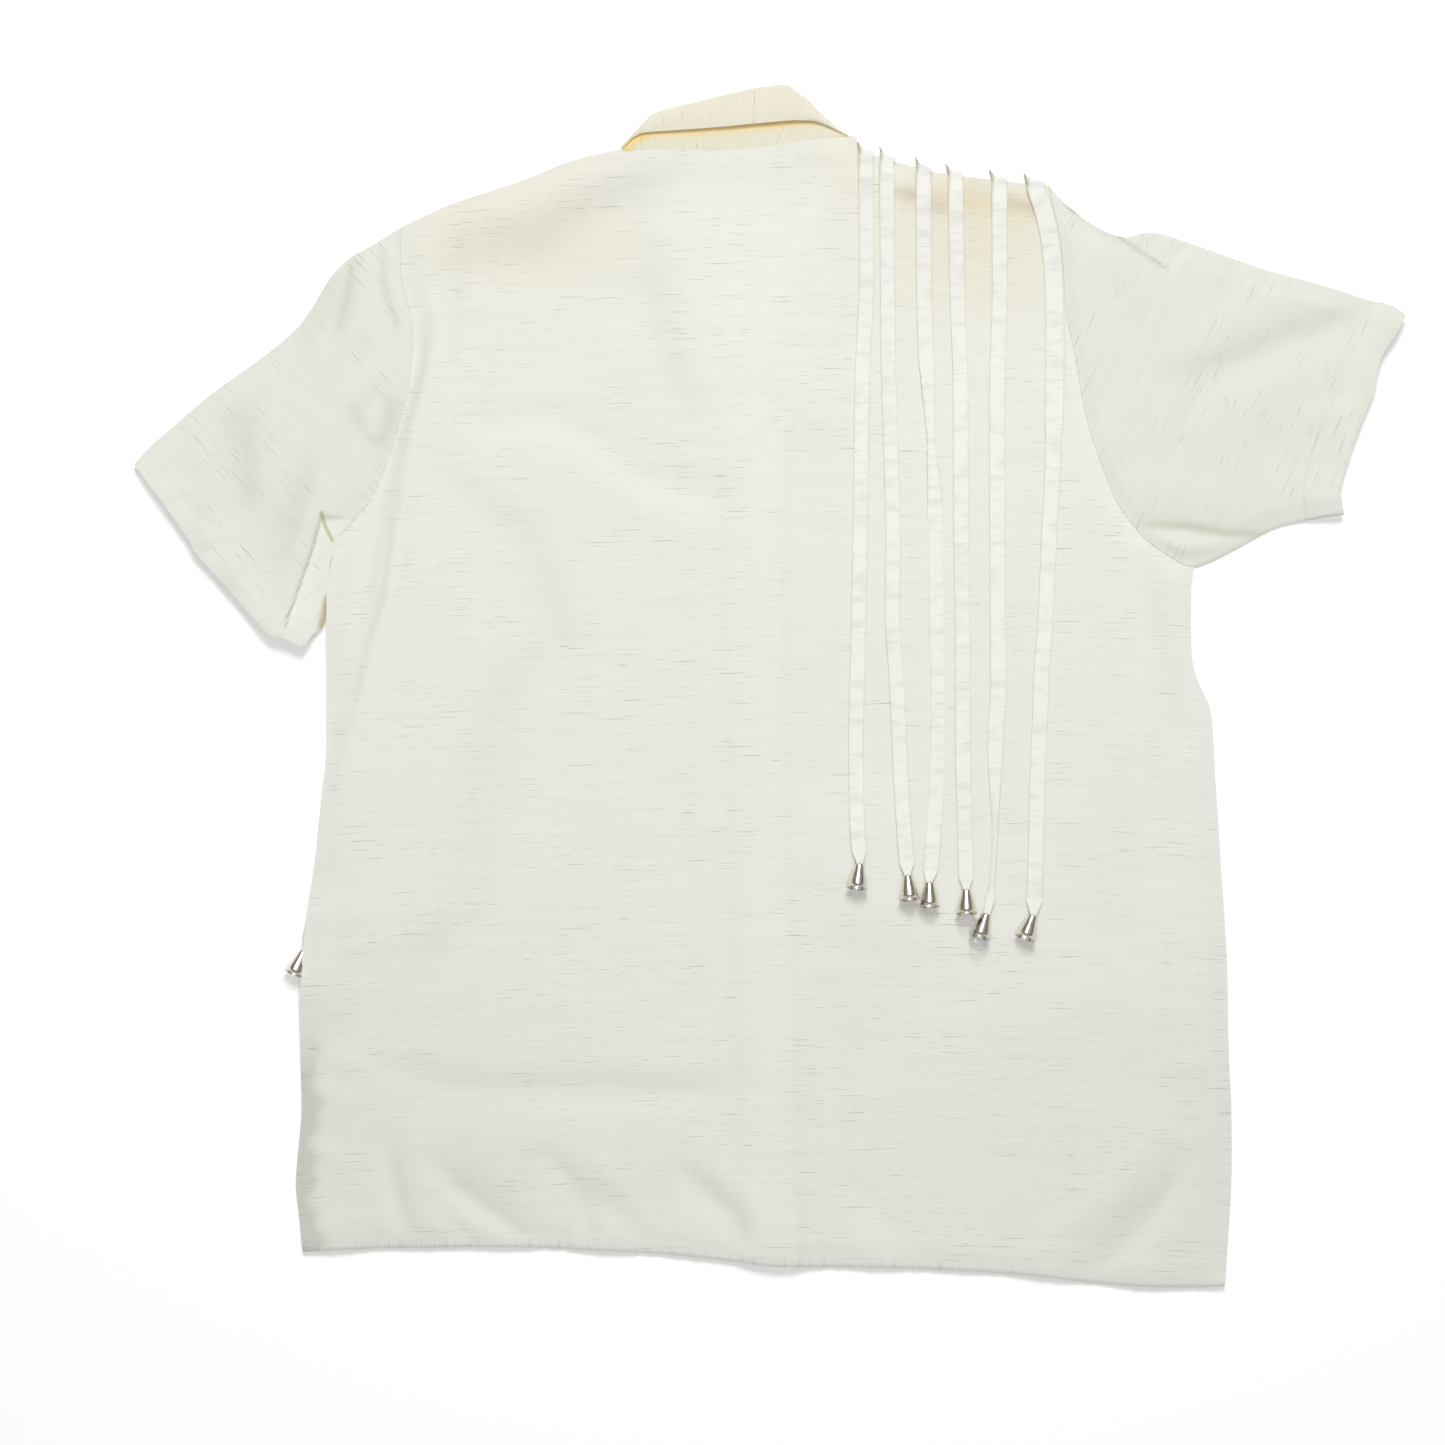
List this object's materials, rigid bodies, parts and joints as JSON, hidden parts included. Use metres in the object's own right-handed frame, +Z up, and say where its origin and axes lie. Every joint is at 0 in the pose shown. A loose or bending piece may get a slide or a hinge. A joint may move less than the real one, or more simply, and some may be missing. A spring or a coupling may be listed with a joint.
{
  "type": "short-sleeve shirt",
  "caption": "Boxy short-sleeve shirt laid flat face down, with a turned collar, a front placket and ribbon straps ending in small bells down the back.",
  "frame": {"origin": "middle of the shirt's outline on the surface that it lies on", "axes": "+Z up from the surface, +Y from the hem to the collar, +X to the wearer's right, with the back panel up"},
  "size_m": [0.89, 0.8424, 0.0221],
  "materials": {
    "cloth": "light slub weave, matt, a little see-through",
    "strap": "the same cloth doubled into a flat strap",
    "bell": "softly polished silver metal",
    "drop": "clear cut glass or acrylic",
    "button": "pale pearl"
  },
  "bodies": {
    "root": {"back": "cloth", "front_left": "cloth", "front_right": "cloth", "sleeve_left": "cloth", "sleeve_right": "cloth", "collar": "cloth", "leaf_left": "cloth", "leaf_right": "cloth", "strap_1": "strap", "strap_2": "strap", "strap_3": "strap", "strap_4": "strap", "strap_5": "strap", "strap_6": "strap", "strap_7": "strap", "bell_1": "bell", "bell_2": "bell", "bell_3": "bell", "bell_4": "bell", "bell_5": "bell", "bell_6": "bell", "bell_7": "bell", "drop_1": "drop", "drop_2": "drop", "drop_3": "drop", "drop_4": "drop", "drop_5": "drop", "drop_6": "drop", "drop_7": "drop", "button_1": "button", "button_2": "button", "button_3": "button", "button_4": "button", "button_5": "button"}
  },
  "joints": []
}
